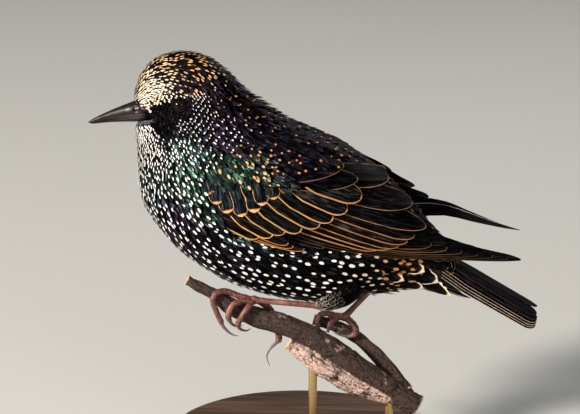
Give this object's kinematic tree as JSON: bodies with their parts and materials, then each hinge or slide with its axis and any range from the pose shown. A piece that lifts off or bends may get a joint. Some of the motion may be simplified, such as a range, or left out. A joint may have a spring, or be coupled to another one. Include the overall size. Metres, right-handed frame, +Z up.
{
  "type": "starling",
  "caption": "Life-size still model of a spotted starling perched on a short cut branch, held over a round wooden base by a plain stand.",
  "frame": {"origin": "middle of the underside of the round stand base", "axes": "+Z up, -X the way the bird faces, -Y its left side, +Y its right side"},
  "size_m": [0.1888, 0.112, 0.174],
  "materials": {
    "plumage": "glossy black feathers with a purple and green sheen and cream tips",
    "wing_coverts": "dark feathers with green gloss and buff tips",
    "flight_feathers": "dark vanes with thin rufous edges",
    "tail_feathers": "dark purplish vanes with thin pale edges",
    "bill": "smooth dark horn, a little paler along the cutting edge",
    "eye": "wet and near black",
    "leg_scales": "satin reddish brown scales",
    "claw": "smooth grey horn",
    "bark": "rough dark bark with pale lichen-grey and tan patches, pale wood at the cuts",
    "stand_wood": "dark stained hardwood with a satin lacquer",
    "stand_metal": "brushed and slightly darkened"
  },
  "bodies": {
    "root": {"bill_lower": "bill", "bill_upper": "bill", "claw_left_hind": "claw", "claw_left_inner": "claw", "claw_left_middle": "claw", "claw_left_outer": "claw", "claw_right_hind": "claw", "claw_right_inner": "claw", "claw_right_middle": "claw", "claw_right_outer": "claw", "eye_left": "eye", "eye_right": "eye", "foot_left": "leg_scales", "foot_right": "leg_scales", "head": "plumage", "neck": "plumage", "perch": "bark", "stand_base": "stand_wood", "stand_rod_front": "stand_metal", "stand_rod_rear": "stand_metal", "tail": "tail_feathers", "tarsus_left": "leg_scales", "tarsus_right": "leg_scales", "thigh_left": "plumage", "thigh_right": "plumage", "torso": "plumage", "wing_left_coverts": "wing_coverts", "wing_left_primaries": "flight_feathers", "wing_left_secondaries": "flight_feathers", "wing_right_coverts": "wing_coverts", "wing_right_primaries": "flight_feathers", "wing_right_secondaries": "flight_feathers"}
  },
  "joints": []
}
